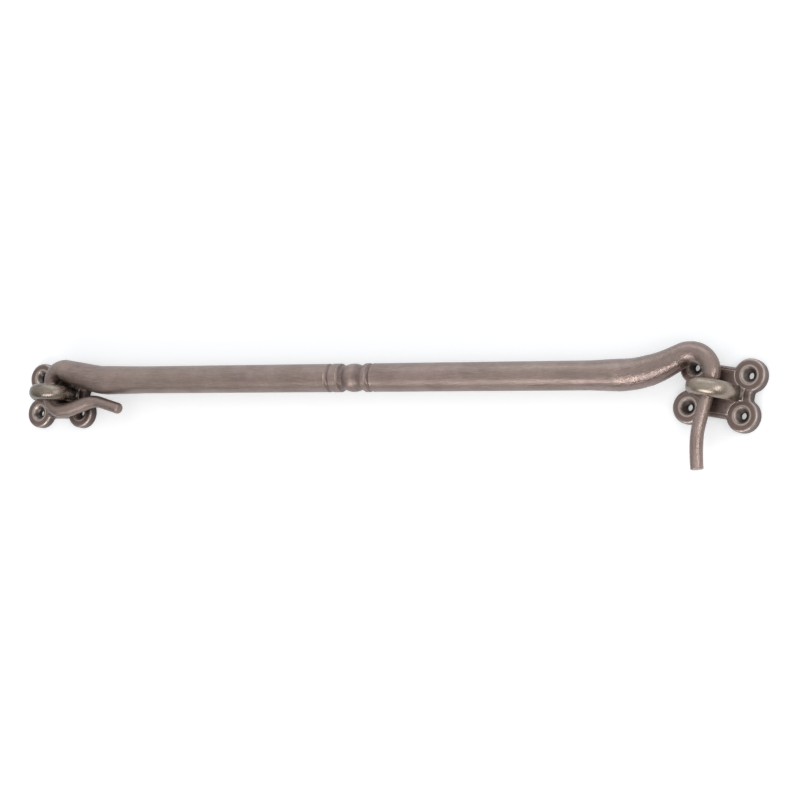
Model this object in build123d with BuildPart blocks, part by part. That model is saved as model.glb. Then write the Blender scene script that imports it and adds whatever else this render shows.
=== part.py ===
# Cabin hook: a turned bar with bent ends, held by two screwed plates with staples.
# The origin is the centre of the fixed plate's back face. +X runs along the bar to the
# hooked end, +Y to the side where the arch rises, +Z out of the face it is screwed to.

import os
from math import cos, radians, sin

from build123d import *

os.makedirs("parts", exist_ok=True)

# Plates, both of one pattern
screw_spacing_x = 18.4
screw_spacing_y = 12.6
lobe_d = 10.6
plate_t = 3.2
plate_edge_r = 0.9
web_length = 22.2
web_width = 16.2
lobe_blend_r = 1.0
pad_length = 18.0
pad_width = 14.0
pad_rise = 0.8
pad_edge_r = 0.3
lobe_land_d = 8.6
screw_hole_d = 2.2
countersink_d = 5.2
countersink_angle = 90
countersink_rim_r = 0.25
place_match = 0.01

# Staples, riveted through the plates
wire_d = 4.5
wire_width = 5.5
staple_gap = 7.3
foot_d = 5.6
foot_h = 0.5
rivet_d = 3.4
rivet_head_d = 4.8
rivet_head_h = 0.7

# Bar, measured across its middle
bar_d = 9.5
bar_clearance = 0.1
bar_offset_y = 4.55
reach = 250

# Turned ornament, from its bead outwards, with the longer band towards the loop
ornament_x = 127.5
bead_d = 9.5
bead_length = 5.5
neck_d = 8.3
neck_length = 1.7
band_d = 9.6
loop_band_length = 3.8
hook_band_length = 2.3
cut_d = 8.4
cut_length = 0.9
collar_d = 9.6
collar_length = 1.1
ornament_edge = 0.5

# Loop round the pin leg of the fixed staple
loop_d = 5.0
loop_side_gap = 0.45
loop_top_y = 8.3
loop_top_r = 4.7
loop_top_d = 7.3
loop_bottom_y = -6.15
loop_bottom_r = 5.6
loop_bottom_d = 5.4
shoulder_d = 7.9
taper_slope = 12.0
taper_end_d = 9.7
taper_r = 25.0
root_d = 10.1
root_run = 16.0

# Curled tail under the loop
curl_slope = 18.5
curl_dip_r = 20.0
curl_crest_r = 12.0
curl_gap = 0.7
curl_dip_d = 4.8
curl_d = 4.3
curl_end_slope = 15.0
curl_run = 8.9
curl_tip_d = 3.9
curl_tip_r = 1.2

# Arch and shank at the hooked end
arch_top_y = 11.5
arch_r = 6.9
arch_d = 6.8
arch_slope = 30.0
arch_bend_d = 7.6
arch_slope_d = 8.0
swell_middle_d = 9.8
swell_d = 10.3
swell_r = 40.0
swell_run = 10.0
shank_top_d = 5.8
shank_upper_d = 5.2
shank_d = 4.4
shank_lean = 12.7
shank_side_gap = 0.3

# Bowed tail below the shank
tail_length = 24.9
tail_straight = 10.5
tail_straight_d = 4.3
tail_r = 26.0
tail_d = 4.25
tail_end_lean = 8.6
tail_tip_d = 4.1
tail_tip_r = 0.3

# Receiver plate, turned about its own middle as it follows the shank
receiver_turn = -8.4

# Places that follow from the sizes above
pad_top = plate_t + pad_rise
leg_x = (staple_gap + wire_d) / 2
bar_z = plate_t + bar_d / 2 + bar_clearance
loop_x = -staple_gap / 2 + loop_side_gap + loop_d / 2
shank_x = leg_x + reach
receiver_x = shank_x + staple_gap / 2 - shank_side_gap - shank_d / 2
fixed_seat = Plane(origin=(0, 0, 0), x_dir=(1, 0, 0), z_dir=(0, 0, 1))
receiver_seat = Plane(
    origin=(receiver_x, 0, 0),
    x_dir=(cos(radians(receiver_turn)), sin(radians(receiver_turn)), 0),
    z_dir=(0, 0, 1),
)


# Corner of the plate's outline, where a lobe meets the web
def lobe_corner(vertex):
    on_long_side = abs(abs(vertex.Y) - web_width / 2) < place_match
    on_short_side = abs(abs(vertex.X) - web_length / 2) < place_match
    return on_long_side or on_short_side


# Outer edge of a countersink, on the plate's upper face
def countersink_rim(edge):
    if edge.geom_type != GeomType.CIRCLE:
        return False
    return abs(edge.center().Z - plate_t) < place_match and abs(edge.radius - countersink_d / 2) < place_match


# One plate with four lobes, a raised pad, screw holes and rivet holes
def make_plate(seat, label):
    with BuildPart() as plate:
        with BuildSketch(seat) as outline:
            Rectangle(web_length, web_width)
            with GridLocations(screw_spacing_x, screw_spacing_y, 2, 2):
                Circle(lobe_d / 2)
            fillet(outline.vertices().filter_by(lobe_corner), radius=lobe_blend_r)
        extrude(amount=plate_t)
        fillet(plate.faces().sort_by(Axis.Z)[-1].edges(), radius=plate_edge_r)
        with BuildSketch(seat.offset(plate_t)):
            Rectangle(pad_length, pad_width)
            with GridLocations(screw_spacing_x, screw_spacing_y, 2, 2):
                Circle(lobe_land_d / 2, mode=Mode.SUBTRACT)
        extrude(amount=pad_rise)
        fillet(plate.faces().sort_by(Axis.Z)[-1].edges(), radius=pad_edge_r)
        with Locations(seat.offset(plate_t)):
            with GridLocations(screw_spacing_x, screw_spacing_y, 2, 2):
                CounterSinkHole(
                    radius=screw_hole_d / 2,
                    counter_sink_radius=countersink_d / 2,
                    depth=2 * plate_t,
                    counter_sink_angle=countersink_angle,
                )
        fillet(plate.edges().filter_by(countersink_rim), radius=countersink_rim_r)
        with BuildSketch(seat):
            with Locations((-leg_x, 0), (leg_x, 0)):
                Circle(rivet_d / 2)
        extrude(amount=pad_top, mode=Mode.SUBTRACT)
        with BuildSketch(seat):
            with Locations((-leg_x, 0), (leg_x, 0)):
                Circle(rivet_head_d / 2)
        extrude(amount=rivet_head_h, mode=Mode.SUBTRACT)
    plate.part.label = label
    return plate


# One staple: a half ring of oval wire on two legs, with rivet ends spread at the plate's back
def make_staple(seat, label):
    upright = Plane(origin=seat.origin, x_dir=seat.x_dir, z_dir=-seat.y_dir)
    with BuildPart() as staple:
        with BuildLine(upright) as bow:
            left_leg = Line((-leg_x, pad_top), (-leg_x, bar_z))
            ring = ThreePointArc((-leg_x, bar_z), (0, bar_z + leg_x), (leg_x, bar_z))
            right_leg = Line((leg_x, bar_z), (leg_x, pad_top))
        with BuildSketch(seat.offset(pad_top)):
            with Locations((-leg_x, 0)):
                Ellipse(wire_d / 2, wire_width / 2)
        sweep(path=bow.line)
        for side in (-1, 1):
            with BuildSketch(seat.offset(pad_top)):
                with Locations((side * leg_x, 0)):
                    Circle(foot_d / 2)
            with BuildSketch(seat.offset(pad_top + foot_h)):
                with Locations((side * leg_x, 0)):
                    Ellipse(wire_d / 2, wire_width / 2)
            loft()
        with BuildSketch(seat):
            with Locations((-leg_x, 0), (leg_x, 0)):
                Circle(rivet_d / 2)
        extrude(amount=pad_top)
        with BuildSketch(seat):
            with Locations((-leg_x, 0), (leg_x, 0)):
                Circle(rivet_head_d / 2)
        extrude(amount=rivet_head_h)
    staple.part.label = label
    return staple


# Place on a bend of the bar's centreline, a share of the way along it: point, heading and
# diameter. A bend is (radius, turn, diameter at its end), or (length, 0, diameter).
def follow(start, bend, share):
    origin, heading, from_d = start
    size, turn, end_d = bend
    now = heading + share * turn
    a, b = radians(heading), radians(now)
    if turn > 0:
        move = Vector(sin(b) - sin(a), cos(a) - cos(b)) * size
    elif turn < 0:
        move = Vector(sin(a) - sin(b), cos(b) - cos(a)) * size
    else:
        move = Vector(cos(a), sin(a)) * size * share
    return origin + move, now, from_d + share * (end_d - from_d)


# Round section across the bar at a place
def section(place):
    point, heading, d = place
    along = (cos(radians(heading)), sin(radians(heading)), 0)
    with BuildSketch(Plane(origin=point, x_dir=(0, 0, 1), z_dir=along)) as face:
        Circle(d / 2)
    return face.sketch


# Tapered round bar added along a chain of tangent bends, returning where it ends
def bend_bar(start, heading, start_d, bends):
    place = (Vector(start), heading, start_d)
    for bend in bends:
        middle = follow(place, bend, 0.5)
        end = follow(place, bend, 1)
        with BuildLine() as path:
            if bend[1]:
                ThreePointArc(place[0], middle[0], end[0])
            else:
                Line(place[0], end[0])
        sweep(sections=[section(place), section(end)], path=path.line, multisection=True)
        place = end
    return place[0]


# Straight length that joins two bends of one slope, for a given step between their ends
def slope_run(step, radii, slope):
    return (step - radii * (1 - cos(radians(slope)))) / sin(radians(slope))


# Turned outline of the bar on one side of the ornament's middle, out to the bend
def turned_side(side, band_length, bend_x):
    bead_edge = bead_length / 2
    neck_edge = bead_edge + neck_length
    band_edge = neck_edge + band_length
    cut_edge = band_edge + cut_length
    collar_edge = cut_edge + collar_length
    outline = [
        (bead_edge, neck_d / 2),
        (neck_edge, neck_d / 2),
        (neck_edge, band_d / 2 - ornament_edge),
        (neck_edge + ornament_edge, band_d / 2),
        (band_edge - ornament_edge, band_d / 2),
        (band_edge, band_d / 2 - ornament_edge),
        (band_edge + cut_length / 2, cut_d / 2),
        (cut_edge, collar_d / 2 - ornament_edge),
        (cut_edge + ornament_edge, collar_d / 2),
        (collar_edge - ornament_edge, collar_d / 2),
        (collar_edge, bar_d / 2),
        (abs(bend_x - ornament_x), bar_d / 2),
        (abs(bend_x - ornament_x), 0),
    ]
    return [(side * x, y) for x, y in outline]


# Edges at the two cut ends, which lie below the bar
def curl_tip(edge):
    return edge.center().Y < bar_offset_y - bar_d / 2 and edge.center().X < ornament_x


def tail_tip(edge):
    return edge.center().Y < bar_offset_y - bar_d / 2 and edge.center().X > ornament_x


curl_crest_y = bar_offset_y - bar_d / 2 - curl_gap - curl_d / 2
curl_rise = slope_run(curl_crest_y - loop_bottom_y, curl_dip_r + curl_crest_r, curl_slope)
taper_run = slope_run(loop_top_y - bar_offset_y, loop_top_r + taper_r, taper_slope)
shank_run = (arch_top_y - arch_r - arch_r * sin(radians(shank_lean))) / cos(radians(shank_lean))
arch_run = slope_run(arch_top_y - bar_offset_y, arch_r + swell_r, arch_slope)
tail_drop = tail_length - tail_straight - tail_r * sin(radians(shank_lean))
bar_axis = Axis((ornament_x, bar_offset_y, bar_z), (1, 0, 0))
bar_plane = Plane(origin=(ornament_x, bar_offset_y, bar_z), x_dir=(1, 0, 0), z_dir=(0, 0, 1))

with BuildPart() as hook_bar:
    # Loop end: down under the pin leg into the curled tail, then up over the shoulder
    bend_bar((loop_x, 0, bar_z), -90, loop_d, [
        (-loop_bottom_y - loop_bottom_r, 0, loop_d),
        (loop_bottom_r, 90, loop_bottom_d),
        (curl_dip_r, curl_slope, curl_dip_d),
        (curl_rise, 0, curl_dip_d),
        (curl_crest_r, -curl_slope, curl_d),
        (curl_crest_r, -curl_end_slope, curl_tip_d),
        (curl_run, 0, curl_tip_d),
    ])
    bar_start = bend_bar((loop_x, 0, bar_z), 90, loop_d, [
        (loop_top_y - loop_top_r, 0, loop_d),
        (loop_top_r, -90, loop_top_d),
        (loop_top_r, -taper_slope, shoulder_d),
        (taper_run, 0, taper_end_d),
        (taper_r, taper_slope, root_d),
        (root_run, 0, bar_d),
    ])

    # Hooked end: down the shank into the bowed tail, then up over the arch
    bend_bar((shank_x, 0, bar_z), -90 - shank_lean, shank_d, [
        (tail_straight / cos(radians(shank_lean)), 0, tail_straight_d),
        (tail_r, shank_lean, tail_d),
        (tail_drop / sin(radians(tail_end_lean)), tail_end_lean, tail_tip_d),
    ])
    bar_end = bend_bar((shank_x, 0, bar_z), 90 - shank_lean, shank_d, [
        (shank_run, 0, shank_upper_d),
        (arch_r, shank_lean, shank_top_d),
        (arch_r, 90, arch_d),
        (arch_r, arch_slope, arch_bend_d),
        (arch_run, 0, arch_slope_d),
        (swell_r, -arch_slope / 2, swell_middle_d),
        (swell_r, -arch_slope / 2, swell_d),
        (swell_run, 0, bar_d),
    ])

    # Straight bar with the turned ornament
    with BuildSketch(bar_plane):
        with BuildLine():
            ThreePointArc((-bead_length / 2, neck_d / 2), (0, bead_d / 2), (bead_length / 2, neck_d / 2))
            hook_side = turned_side(1, hook_band_length, bar_end.X)
            loop_side = turned_side(-1, loop_band_length, bar_start.X)
            Polyline(*hook_side, *reversed(loop_side))
        make_face()
    revolve(axis=bar_axis)
    fillet(hook_bar.faces().filter_by(GeomType.PLANE).edges().filter_by(curl_tip), radius=curl_tip_r)
    fillet(hook_bar.faces().filter_by(GeomType.PLANE).edges().filter_by(tail_tip), radius=tail_tip_r)
hook_bar.part.label = "hook_bar"

fixed_plate = make_plate(fixed_seat, "fixed_plate")
receiver_plate = make_plate(receiver_seat, "receiver_plate")
fixed_staple = make_staple(fixed_seat, "fixed_staple")
receiver_staple = make_staple(receiver_seat, "receiver_staple")

for piece in (hook_bar, fixed_plate, receiver_plate, fixed_staple, receiver_staple):
    print(piece.part.label, round(piece.part.volume, 2), piece.part.is_valid)
    export_step(piece.part, "parts/" + piece.part.label + ".step")
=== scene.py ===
# Cabin hook in antique bronze: a turned bar with bent ends and two staple plates, laid on a
# pale table under soft studio light. Lengths are in metres, in the frame of the solids.

import math

import bmesh
import bpy
from mathutils import Matrix, Vector

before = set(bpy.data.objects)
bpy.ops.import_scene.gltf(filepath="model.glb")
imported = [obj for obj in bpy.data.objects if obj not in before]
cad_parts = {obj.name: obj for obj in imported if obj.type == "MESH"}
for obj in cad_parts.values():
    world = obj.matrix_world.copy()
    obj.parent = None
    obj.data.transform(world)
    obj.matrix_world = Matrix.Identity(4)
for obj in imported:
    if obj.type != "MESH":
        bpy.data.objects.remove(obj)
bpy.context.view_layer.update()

mm = 0.001

# Camera, set where the photograph was taken from
camera_place = (582.27 * mm, -99.67 * mm, 726.09 * mm)
camera_right = (0.8565, 0.0641, -0.5121)
camera_back = (0.5161, -0.1143, 0.8489)
camera_lens = 115.75
sensor_width = 36

# Lamps: name, place, target, width, height, power, colour
left_half = (0.15, 0, 8 * mm)
bar_middle = (0.19, 0, 8 * mm)
hooked_end = (0.25, 0, 8 * mm)
white = (1, 1, 1)
cool = (0.86, 0.95, 1)
softboxes = (
    ("Low lamp before the right half", (0.25, -0.62, 0.48), bar_middle, 0.3, 0.2, 1.15, white),
    ("Low lamp before the left half", (-0.05, -0.6, 0.46), bar_middle, 0.3, 0.2, 1.1, white),
    ("Right lamp", (1.06, 0.11, 0.6), hooked_end, 0.3, 0.3, 0.88, white),
    ("Front right lamp", (1.0, -0.25, 0.75), hooked_end, 0.3, 0.3, 1.2, white),
    ("Long lamp beyond", (0.15, 0.9, 0.45), left_half, 1.2, 0.6, 2.3, cool),
)

# Bright patches of the surroundings: direction, spread, light
sky_patches = (
    ((0, 0, 1), 2.5, 0.92),
    ((0.8, 0.8, 0.4), 6.0, 0.8),
    ((-0.8, 0.8, 0.4), 6.0, 0.56),
    ((-1, 0, 0.35), 6.0, 0.25),
    ((1, 0, 0.35), 6.0, 0.2),
    ((0.8, -0.8, 0.4), 6.0, 0.15),
)

# The table's colour, the glow that it shows to the camera alone, and its drop below the plates
table_colour = (0.8, 0.805, 0.815, 1)
table_glow = 0.34
table_drop = 0.05 * mm

# The bar's bends, its axis and its turned ornament
rise_centre, rise_radius = (215.26 * mm, 44.55 * mm, 8.05 * mm), 40 * mm
arch_centre, arch_radius = (249.86 * mm, 4.6 * mm, 8.05 * mm), 6.9 * mm
loop_centre, loop_radius = (4.3 * mm, 1.4 * mm, 8.05 * mm), 5 * mm
bar_axis_y = 4.55 * mm
bar_axis_z = 8.05 * mm
ornament_start = 113 * mm
ornament_end = 139 * mm

# Where a finish of the bar starts and where it is full, along X
gloss_along_x = (180 * mm, 242 * mm)
rise_along_x = (200 * mm, 230 * mm)
shade_along_x = (222 * mm, 246 * mm)
arch_along_x = (240 * mm, 244 * mm)
loop_along_x = (14 * mm, 3 * mm)

# The same along Y, and for the grooves by the distance from the bar's axis
shade_along_y = (-6 * mm, 2 * mm)
shank_along_y = (5 * mm, 3 * mm)
tail_along_y = (0.0, -8 * mm)
groove_reach = (4.72 * mm, 4.3 * mm)

# The receiver plate's place, and the screws from a plate's own middle
receiver_centre = (257.05 * mm, 0, 0)
receiver_turn = math.radians(-8.4)
screw_x = 9.2 * mm
screw_y = 6.3 * mm

# Where a finish of a plate starts and where it is full, by the distance from a screw's middle
hole_reach = (2.6 * mm, 1.8 * mm)
rim_inside = (2.6 * mm, 2.85 * mm)
rim_outside = (3.4 * mm, 3.0 * mm)
wall_reach = (3 * mm, 4 * mm)
top_reach = (4.7 * mm, 4.2 * mm)
web_reach = (4.3 * mm, 5.4 * mm)
lobe_reach = (6.2 * mm, 5.2 * mm)

# Painted shade and grime lie round the staple on a plate, and low down on a staple
plate_shade_and_grime_reach = (9 * mm, 4 * mm)
staple_shade_and_grime_height = (10 * mm, 4.5 * mm)


def put(tree, kind, **settings):
    """A node of a kind, with its own settings."""
    node = tree.nodes.new("ShaderNode" + kind)
    for name, value in settings.items():
        setattr(node, name, value)
    return node


def join(tree, source, socket):
    """Links another node's socket to this one, or sets this one to a plain value."""
    if isinstance(source, bpy.types.NodeSocket):
        tree.links.new(source, socket)
    else:
        socket.default_value = source


def feed(tree, node, **sources):
    """Joins a node's inputs by name, and gives the node back."""
    for name, source in sources.items():
        join(tree, source, node.inputs[name.replace("_", " ")])
    return node


def reckon(tree, operation, *terms):
    """The result of one sum on numbers or sockets."""
    node = put(tree, "Math", operation=operation)
    for term, socket in zip(terms, node.inputs):
        join(tree, term, socket)
    return node.outputs[0]


def reckon_vectors(tree, operation, first, second):
    """The node of one sum on two vectors."""
    node = put(tree, "VectorMath", operation=operation)
    join(tree, first, node.inputs[0])
    join(tree, second, node.inputs[1])
    return node


def split(tree, vector):
    """The X, Y and Z of a vector."""
    return tuple(feed(tree, put(tree, "SeparateXYZ"), Vector=vector).outputs)


def span(tree, across, along):
    """How far a point lies from a middle, from its distances across and along."""
    squared = reckon(tree, "MULTIPLY", along, along)
    squared = reckon(tree, "MULTIPLY_ADD", across, across, squared)
    return reckon(tree, "SQRT", squared)


def ease(tree, value, low, high, to_low=0.0, to_high=1.0):
    """A value brought smoothly from one range to another."""
    node = put(tree, "MapRange", interpolation_type="SMOOTHSTEP")
    feed(tree, node, Value=value, From_Min=low, From_Max=high, To_Min=to_low, To_Max=to_high)
    return node.outputs["Result"]


def overlap(tree, *masks):
    """Where all of the masks apply."""
    shared = masks[0]
    for mask in masks[1:]:
        shared = reckon(tree, "MULTIPLY", shared, mask)
    return shared


def shift(tree, value, *changes):
    """A value with changes added in order. A change is a mask and its amount."""
    for mask, amount in changes:
        value = reckon(tree, "MULTIPLY_ADD", mask, amount, value)
    return value


def blend_values(tree, share, first, second):
    """Two values mixed by a share."""
    node = put(tree, "Mix", data_type="FLOAT")
    for term, slot in ((share, 0), (first, 2), (second, 3)):
        join(tree, term, node.inputs[slot])
    return node.outputs[0]


def blend_tones(tree, share, first, second):
    """Two colours mixed by a share."""
    node = put(tree, "Mix", data_type="RGBA")
    for term, slot in ((share, 0), (first, 6), (second, 7)):
        join(tree, term, node.inputs[slot])
    return node.outputs[2]


def lay_coats(tree, tone, *coats):
    """A tone with coats laid over it in order. A coat is a colour, its mask and its strength."""
    for colour, mask, strength in coats:
        tone = blend_tones(tree, reckon(tree, "MULTIPLY", mask, strength), tone, colour)
    return tone


def noise(tree, vector, scale, detail, roughness):
    """Cloudy noise, from 0 to 1."""
    node = put(tree, "TexNoise")
    feed(tree, node, Vector=vector, Scale=scale, Detail=detail, Roughness=roughness)
    return node.outputs["Fac"]


def new_group(name, inputs, outputs):
    """An empty shader group with named sockets. Inputs are name: (kind, value)."""
    tree = bpy.data.node_groups.new(name, "ShaderNodeTree")
    for label, (kind, value) in inputs.items():
        socket = tree.interface.new_socket(
            name=label, in_out="INPUT", socket_type="NodeSocket" + kind
        )
        if value is not None:
            socket.default_value = value
    for label, kind in outputs.items():
        tree.interface.new_socket(name=label, in_out="OUTPUT", socket_type="NodeSocket" + kind)
    return tree, tree.nodes.new("NodeGroupInput"), tree.nodes.new("NodeGroupOutput")


def use(tree, group, **sources):
    """A group placed in a material, with its own values."""
    return feed(tree, put(tree, "Group", node_tree=group), **sources)


def brushed_grain():
    """Fine scratches drawn out along X, with a coarser drag under them."""
    tree, start, end = new_group(
        "Brushed grain",
        {"Vector": ("Vector", None), "Length": ("Float", 6 * mm), "Width": ("Float", 0.3 * mm)},
        {"Fine": "Float", "Coarse": "Float"},
    )
    across = reckon(tree, "DIVIDE", 1.0, start.outputs["Width"])
    along = reckon(tree, "DIVIDE", 1.0, start.outputs["Length"])
    sizes = feed(tree, put(tree, "CombineXYZ"), X=along, Y=across, Z=across).outputs[0]
    drawn = reckon_vectors(tree, "MULTIPLY", start.outputs["Vector"], sizes).outputs[0]
    fine = ease(tree, noise(tree, drawn, 1.0, 3.0, 0.65), 0.3, 0.7)
    coarse = ease(tree, noise(tree, drawn, 0.3, 2.0, 0.5), 0.32, 0.68)
    feed(tree, end, Fine=fine, Coarse=coarse)
    return tree


def grain_round_bend():
    """Turns coordinates round a bend's centre, so that X runs along the bend."""
    tree, start, end = new_group(
        "Grain round a bend",
        {
            "Vector": ("Vector", None),
            "Centre": ("Vector", (0, 0, 0)),
            "Radius": ("Float", 7 * mm),
        },
        {"Vector": "Vector"},
    )
    offset = reckon_vectors(tree, "SUBTRACT", start.outputs["Vector"], start.outputs["Centre"])
    x, y, z = split(tree, offset.outputs[0])
    along = reckon(tree, "MULTIPLY", reckon(tree, "ARCTAN2", y, x), start.outputs["Radius"])
    turned = feed(tree, put(tree, "CombineXYZ"), X=along, Y=span(tree, x, y), Z=z)
    feed(tree, end, Vector=turned.outputs[0])
    return tree


def worn_edges():
    """Where a corner is rubbed: the smoothed normal leaves the true one there."""
    tree, start, end = new_group(
        "Worn edges",
        {
            "Vector": ("Vector", None),
            "Radius": ("Float", 0.4 * mm),
            "Breakup": ("Float", 900.0),
        },
        {"Wear": "Float"},
    )
    smoothed = feed(tree, put(tree, "Bevel", samples=6), Radius=start.outputs["Radius"])
    true = put(tree, "NewGeometry").outputs["Normal"]
    agree = reckon_vectors(tree, "DOT_PRODUCT", smoothed.outputs[0], true).outputs["Value"]
    corner = ease(tree, reckon(tree, "SUBTRACT", 1.0, agree), 0.01, 0.16)
    patches = noise(tree, start.outputs["Vector"], start.outputs["Breakup"], 3.0, 0.5)
    rubbed = ease(tree, patches, 0.32, 0.62, to_low=0.35)
    feed(tree, end, Wear=overlap(tree, corner, rubbed))
    return tree


def old_patina():
    """Mottled brown film: broad clouds, small specks and faint pits."""
    tree, start, end = new_group(
        "Old patina",
        {
            "Vector": ("Vector", None),
            "Cloud": ("Float", 90.0),
            "Speck": ("Float", 1400.0),
        },
        {"Clouds": "Float", "Specks": "Float", "Pits": "Float"},
    )
    place, speck = start.outputs["Vector"], start.outputs["Speck"]
    clouds = noise(tree, place, start.outputs["Cloud"], 4.0, 0.55)
    specks = noise(tree, place, speck, 2.0, 0.7)
    pits = feed(tree, put(tree, "TexVoronoi", feature="F1"), Vector=place, Scale=speck)
    feed(
        tree,
        end,
        Clouds=ease(tree, clouds, 0.34, 0.66),
        Specks=ease(tree, specks, 0.36, 0.7),
        Pits=ease(tree, pits.outputs["Distance"], 0.0, 0.35),
    )
    return tree


grain_group = brushed_grain()
bend_group = grain_round_bend()
wear_group = worn_edges()
patina_group = old_patina()


def new_metal(name):
    """A lacquered metal with its shader, and the piece's own coordinates."""
    material = bpy.data.materials.new(name)
    material.use_nodes = True
    tree = material.node_tree
    tree.nodes.clear()
    shader = feed(
        tree, put(tree, "BsdfPrincipled"), Metallic=1.0, Coat_Weight=0.7, Coat_Roughness=0.35
    )
    feed(tree, put(tree, "OutputMaterial"), Surface=shader.outputs[0])
    return material, tree, shader, put(tree, "TexCoord").outputs["Object"]


def finish_metal(tree, shader, tone, roughness, relief, depth):
    """Joins a colour, a roughness and a surface relief of a depth to the shader."""
    bump = feed(tree, put(tree, "Bump"), Height=relief, Strength=1.0, Distance=depth)
    feed(tree, shader, Base_Color=tone, Roughness=roughness, Normal=bump.outputs[0])


def grain_along_bar(tree, place, x, y, on_arch):
    """The brushed grain's fine and coarse scratches, turned with every run of the bar."""

    def round_bend(centre, radius):
        return use(tree, bend_group, Vector=place, Centre=centre, Radius=radius).outputs[0]

    def scratches(run):
        grain = use(tree, grain_group, Vector=run, Length=5 * mm, Width=0.22 * mm)
        return grain.outputs["Fine"], grain.outputs["Coarse"]

    down = put(tree, "Mapping", vector_type="POINT")
    feed(tree, down, Vector=place, Rotation=(0, 0, math.radians(90)))
    on_shank = overlap(tree, on_arch, ease(tree, y, *shank_along_y))
    fine, coarse = scratches(place)
    for run, on_run in (
        (round_bend(rise_centre, rise_radius), ease(tree, x, *rise_along_x)),
        (round_bend(arch_centre, arch_radius), on_arch),
        (down.outputs[0], on_shank),
        (round_bend(loop_centre, loop_radius), ease(tree, x, *loop_along_x)),
    ):
        run_fine, run_coarse = scratches(run)
        fine = blend_values(tree, on_run, fine, run_fine)
        coarse = blend_values(tree, on_run, coarse, run_coarse)
    return fine, coarse


def bar_bronze():
    """Brushed along the bar, round its bends and down the shank, with painted shade on the arch.
    """
    material, tree, shader, place = new_metal("Bar bronze")
    x, y, z = split(tree, place)
    on_arch = ease(tree, x, *arch_along_x)
    on_tail = overlap(tree, on_arch, ease(tree, y, *tail_along_y))
    # Painted shade: the arch is darkened in colour here, and made glossier
    shaded = overlap(tree, ease(tree, x, *shade_along_x), ease(tree, y, *shade_along_y))
    fine, coarse = grain_along_bar(tree, place, x, y, on_arch)
    patina = use(tree, patina_group, Vector=place, Cloud=120.0, Speck=900.0)
    broad = use(tree, patina_group, Vector=place, Cloud=45.0)
    wear = use(tree, wear_group, Vector=place, Radius=0.35 * mm, Breakup=700.0)

    # Darker in the turned grooves, told by their distance from the bar's axis
    from_axis = span(
        tree, reckon(tree, "SUBTRACT", y, bar_axis_y), reckon(tree, "SUBTRACT", z, bar_axis_z)
    )
    in_groove = overlap(
        tree,
        ease(tree, from_axis, *groove_reach),
        ease(tree, x, ornament_start, ornament_start + mm),
        ease(tree, x, ornament_end + mm, ornament_end),
    )

    black = (0.07, 0.045, 0.04, 1)
    dark = (0.23, 0.16, 0.142, 1)
    brown = (0.34, 0.243, 0.217, 1)
    olive = (0.31, 0.25, 0.195, 1)
    light = (0.47, 0.36, 0.323, 1)
    rubbed = (0.62, 0.51, 0.45, 1)
    tone = lay_coats(
        tree,
        blend_tones(tree, patina.outputs["Clouds"], dark, brown),
        (olive, broad.outputs["Clouds"], 0.4),
        (light, fine, 0.6),
        (dark, patina.outputs["Specks"], 0.25),
        (black, in_groove, 0.4),
        # painted shade on the arch
        (dark, shaded, 0.4),
        (rubbed, wear.outputs["Wear"], 1.0),
    )
    roughness = shift(
        tree,
        0.47,
        (coarse, -0.08),
        (ease(tree, x, *gloss_along_x), -0.11),
        (on_tail, -0.05),
        (shaded, -0.08),
        (patina.outputs["Clouds"], -0.05),
    )
    speck_relief = ease(tree, on_tail, 0.0, 1.0, to_low=0.9, to_high=0.2)
    relief = shift(tree, fine, (coarse, 0.6), (patina.outputs["Specks"], speck_relief))
    finish_metal(tree, shader, tone, roughness, relief, depth=0.025 * mm)
    return material


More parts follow.
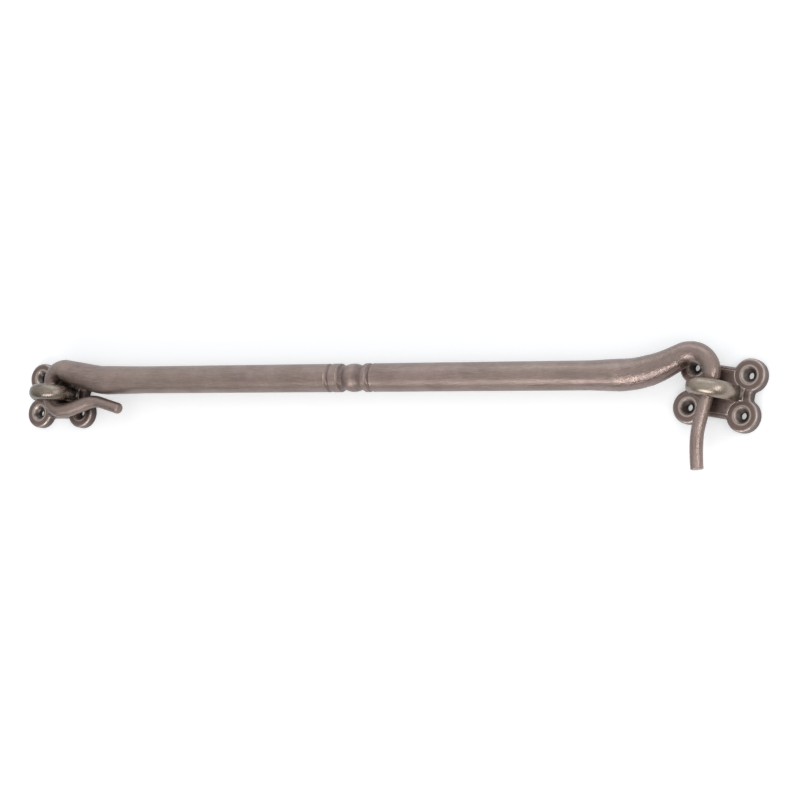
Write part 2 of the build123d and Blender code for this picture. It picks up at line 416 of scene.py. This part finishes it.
def plate_bronze(name, centre, turn, shade_and_grime_share):
    """Cast plate: painted shade and grime by the staple, painted shade in holes, pad and walls,
    painted highlights and wear on lobes, rims and shoulders.
    """
    material, tree, shader, place = new_metal(name)
    own = put(tree, "Mapping", vector_type="TEXTURE")
    own = feed(tree, own, Vector=place, Location=centre, Rotation=(0, 0, turn)).outputs[0]
    x, y, _ = split(tree, own)
    from_staple = reckon(tree, "ABSOLUTE", y)
    from_screw = span(
        tree,
        reckon(tree, "SUBTRACT", reckon(tree, "ABSOLUTE", x), screw_x),
        reckon(tree, "SUBTRACT", from_staple, screw_y),
    )
    # Painted shade in the countersinks and screw holes
    in_hole = ease(tree, from_screw, *hole_reach)
    # Painted highlight and wear on the countersinks' rims
    on_rim = overlap(
        tree, ease(tree, from_screw, *rim_inside), ease(tree, from_screw, *rim_outside)
    )
    # Painted shade and darker patina on the pad between the lobes
    on_top = ease(tree, from_screw, *top_reach)
    on_lobe = ease(tree, from_screw, *lobe_reach)
    # Painted shade and grime round the staple, off the lobes
    shade_and_grime = overlap(
        tree,
        ease(tree, from_screw, *web_reach),
        ease(tree, from_staple, *plate_shade_and_grime_reach, to_low=0.25, to_high=shade_and_grime_share),
    )

    # The upward lean of the surface: 1 on the flats, 0 on the outer wall
    lean = split(tree, put(tree, "NewGeometry").outputs["Normal"])[2]
    # Painted highlight and wear on the lobes' rounded shoulders
    shoulder = overlap(tree, ease(tree, lean, 0.97, 0.8), ease(tree, lean, 0.2, 0.45), on_lobe)
    # Painted shade on the outer walls, by their lean alone
    on_wall = overlap(tree, ease(tree, lean, 0.4, 0.15), ease(tree, from_screw, *wall_reach))

    grain = use(tree, grain_group, Vector=own, Length=1.6 * mm, Width=0.35 * mm)
    patina = use(tree, patina_group, Vector=own, Cloud=330.0, Speck=1500.0)
    wear = use(tree, wear_group, Vector=place, Radius=0.45 * mm, Breakup=650.0)

    black = (0.045, 0.03, 0.027, 1)
    dark = (0.17, 0.115, 0.1, 1)
    brown = (0.34, 0.245, 0.215, 1)
    light = (0.46, 0.36, 0.325, 1)
    rubbed = (0.66, 0.56, 0.5, 1)
    tone = lay_coats(
        tree,
        blend_tones(tree, patina.outputs["Clouds"], dark, brown),
        (light, grain.outputs["Fine"], 0.35),
        # painted shade and darker patina on the pad
        (dark, on_top, 0.85),
        # painted shade on the outer walls
        (dark, on_wall, 0.8),
        (rubbed, wear.outputs["Wear"], ease(tree, on_lobe, 0.0, 1.0, to_low=0.25)),
        # painted highlight and wear on the shoulders
        (rubbed, shoulder, 0.75),
        # painted shade and grime by the staple
        (black, shade_and_grime, 1.0),
        # painted highlight and wear on the rims
        (rubbed, on_rim, 0.6),
        # painted shade in the holes
        (black, in_hole, 0.85),
    )
    roughness = shift(tree, 0.4, (grain.outputs["Coarse"], -0.1), (in_hole, 0.15))
    relief = shift(tree, grain.outputs["Fine"], (patina.outputs["Pits"], 1.2))
    finish_metal(tree, shader, tone, roughness, relief, depth=0.025 * mm)
    return material


def staple_brass(name, tarnish_and_shade):
    """Bent wire, more olive than the bar, rubbed on its edges, with painted shade and grime near
    the plate.
    """
    material, tree, shader, place = new_metal(name)
    height = split(tree, place)[2]
    # Painted shade and grime low down on the staple, near the plate
    shade_and_grime = ease(tree, height, *staple_shade_and_grime_height, to_high=0.8)
    grain = use(tree, grain_group, Vector=place, Length=3 * mm, Width=0.3 * mm)
    patina = use(tree, patina_group, Vector=place, Cloud=220.0, Speck=1300.0)
    wear = use(tree, wear_group, Vector=place, Radius=0.4 * mm, Breakup=650.0)

    black = (0.07, 0.056, 0.046, 1)
    dark = (0.17, 0.135, 0.108, 1)
    olive = (0.37, 0.298, 0.238, 1)
    light = (0.66, 0.55, 0.45, 1)
    # Tarnish, with painted shade making the fixed staple darker
    darkened = shift(tree, tarnish_and_shade, (patina.outputs["Clouds"], 0.45))
    tone = lay_coats(
        tree,
        blend_tones(tree, darkened, olive, dark),
        (light, grain.outputs["Fine"], 0.25),
        (light, wear.outputs["Wear"], 1.0),
        # painted shade and grime low on the staple
        (black, shade_and_grime, 1.0),
    )
    roughness = shift(tree, 0.34, (grain.outputs["Coarse"], -0.1))
    relief = shift(tree, grain.outputs["Fine"], (patina.outputs["Pits"], 0.5))
    finish_metal(tree, shader, tone, roughness, relief, depth=0.015 * mm)
    return material


finishes = {
    "hook_bar": bar_bronze(),
    # The fixed plate has more painted shade and grime round its staple
    "fixed_plate": plate_bronze("Fixed plate bronze", (0, 0, 0), 0, 0.95),
    "receiver_plate": plate_bronze("Receiver plate bronze", receiver_centre, receiver_turn, 0.4),
    # The fixed staple is darker: tarnish and painted shade
    "fixed_staple": staple_brass("Fixed staple brass", 0.62),
    "receiver_staple": staple_brass("Receiver staple brass", 0.05),
}
for name, material in finishes.items():
    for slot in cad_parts[name].material_slots:
        slot.material = material


def pale_table():
    """A plain white table, a little below the plates' backs so that nothing lies in it."""
    shape = bmesh.new()
    bmesh.ops.create_grid(shape, x_segments=1, y_segments=1, size=4)
    bmesh.ops.translate(shape, verts=shape.verts, vec=(0.13, 0, -table_drop))
    mesh = bpy.data.meshes.new("Table")
    shape.to_mesh(mesh)
    shape.free()
    table = bpy.data.objects.new("Table", mesh)
    bpy.context.scene.collection.objects.link(table)
    material = bpy.data.materials.new("White table")
    material.use_nodes = True
    tree = material.node_tree
    seen = put(tree, "LightPath").outputs["Is Camera Ray"]
    feed(
        tree,
        tree.nodes["Principled BSDF"],
        Base_Color=table_colour,
        Roughness=0.7,
        Emission_Color=(1, 1, 1, 1),
        Emission_Strength=reckon(tree, "MULTIPLY", seen, table_glow),
    )
    mesh.materials.append(material)


def soft_light(name, place, target, width, height, power, colour):
    """A softbox at a place, turned to a target."""
    data = bpy.data.lights.new(name, "AREA")
    data.shape = "RECTANGLE"
    data.size = width
    data.size_y = height
    data.energy = power
    data.color = colour
    lamp = bpy.data.objects.new(name, data)
    lamp.visible_camera = False
    lamp.location = place
    lamp.rotation_euler = (Vector(target) - Vector(place)).to_track_quat("-Z", "Y").to_euler()
    bpy.context.scene.collection.objects.link(lamp)


def sky_patch():
    """A soft bright patch of sky round a direction, wider as the spread falls."""
    tree, start, end = new_group(
        "Sky patch",
        {
            "Vector": ("Vector", None),
            "Direction": ("Vector", (0, 0, 1)),
            "Spread": ("Float", 5.0),
        },
        {"Light": "Float"},
    )
    agree = reckon_vectors(
        tree, "DOT_PRODUCT", start.outputs["Vector"], start.outputs["Direction"]
    )
    short = reckon(tree, "SUBTRACT", agree.outputs["Value"], 1.0)
    fall = reckon(tree, "EXPONENT", reckon(tree, "MULTIPLY", short, start.outputs["Spread"]))
    feed(tree, end, Light=fall)
    return tree


def set_studio():
    """Soft surroundings, open overhead and beyond the bar, and lamps on three sides of it."""
    world = bpy.data.worlds.new("Studio")
    world.use_nodes = True
    tree = world.node_tree
    look = put(tree, "TexCoord").outputs["Generated"]
    group = sky_patch()
    strength = 0.0
    for direction, spread, light in sky_patches:
        towards = Vector(direction).normalized()
        patch = use(tree, group, Vector=look, Direction=towards, Spread=spread)
        strength = shift(tree, strength, (patch.outputs["Light"], light))
    feed(tree, tree.nodes["Background"], Color=(0.98, 0.99, 1, 1), Strength=strength)
    bpy.context.scene.world = world
    for softbox in softboxes:
        soft_light(*softbox)


def set_camera():
    """The camera where the photograph was taken."""
    data = bpy.data.cameras.new("Camera")
    data.sensor_width = sensor_width
    data.lens = camera_lens
    data.clip_start = 0.02
    data.clip_end = 50
    camera = bpy.data.objects.new("Camera", data)
    back = Vector(camera_back).normalized()
    up = back.cross(Vector(camera_right)).normalized()
    right = up.cross(back)
    turn = Matrix((right, up, back)).transposed()
    camera.matrix_world = Matrix.Translation(camera_place) @ turn.to_4x4()
    bpy.context.scene.collection.objects.link(camera)
    bpy.context.scene.camera = camera
    bpy.context.scene.view_settings.view_transform = "Standard"


pale_table()
set_studio()
set_camera()
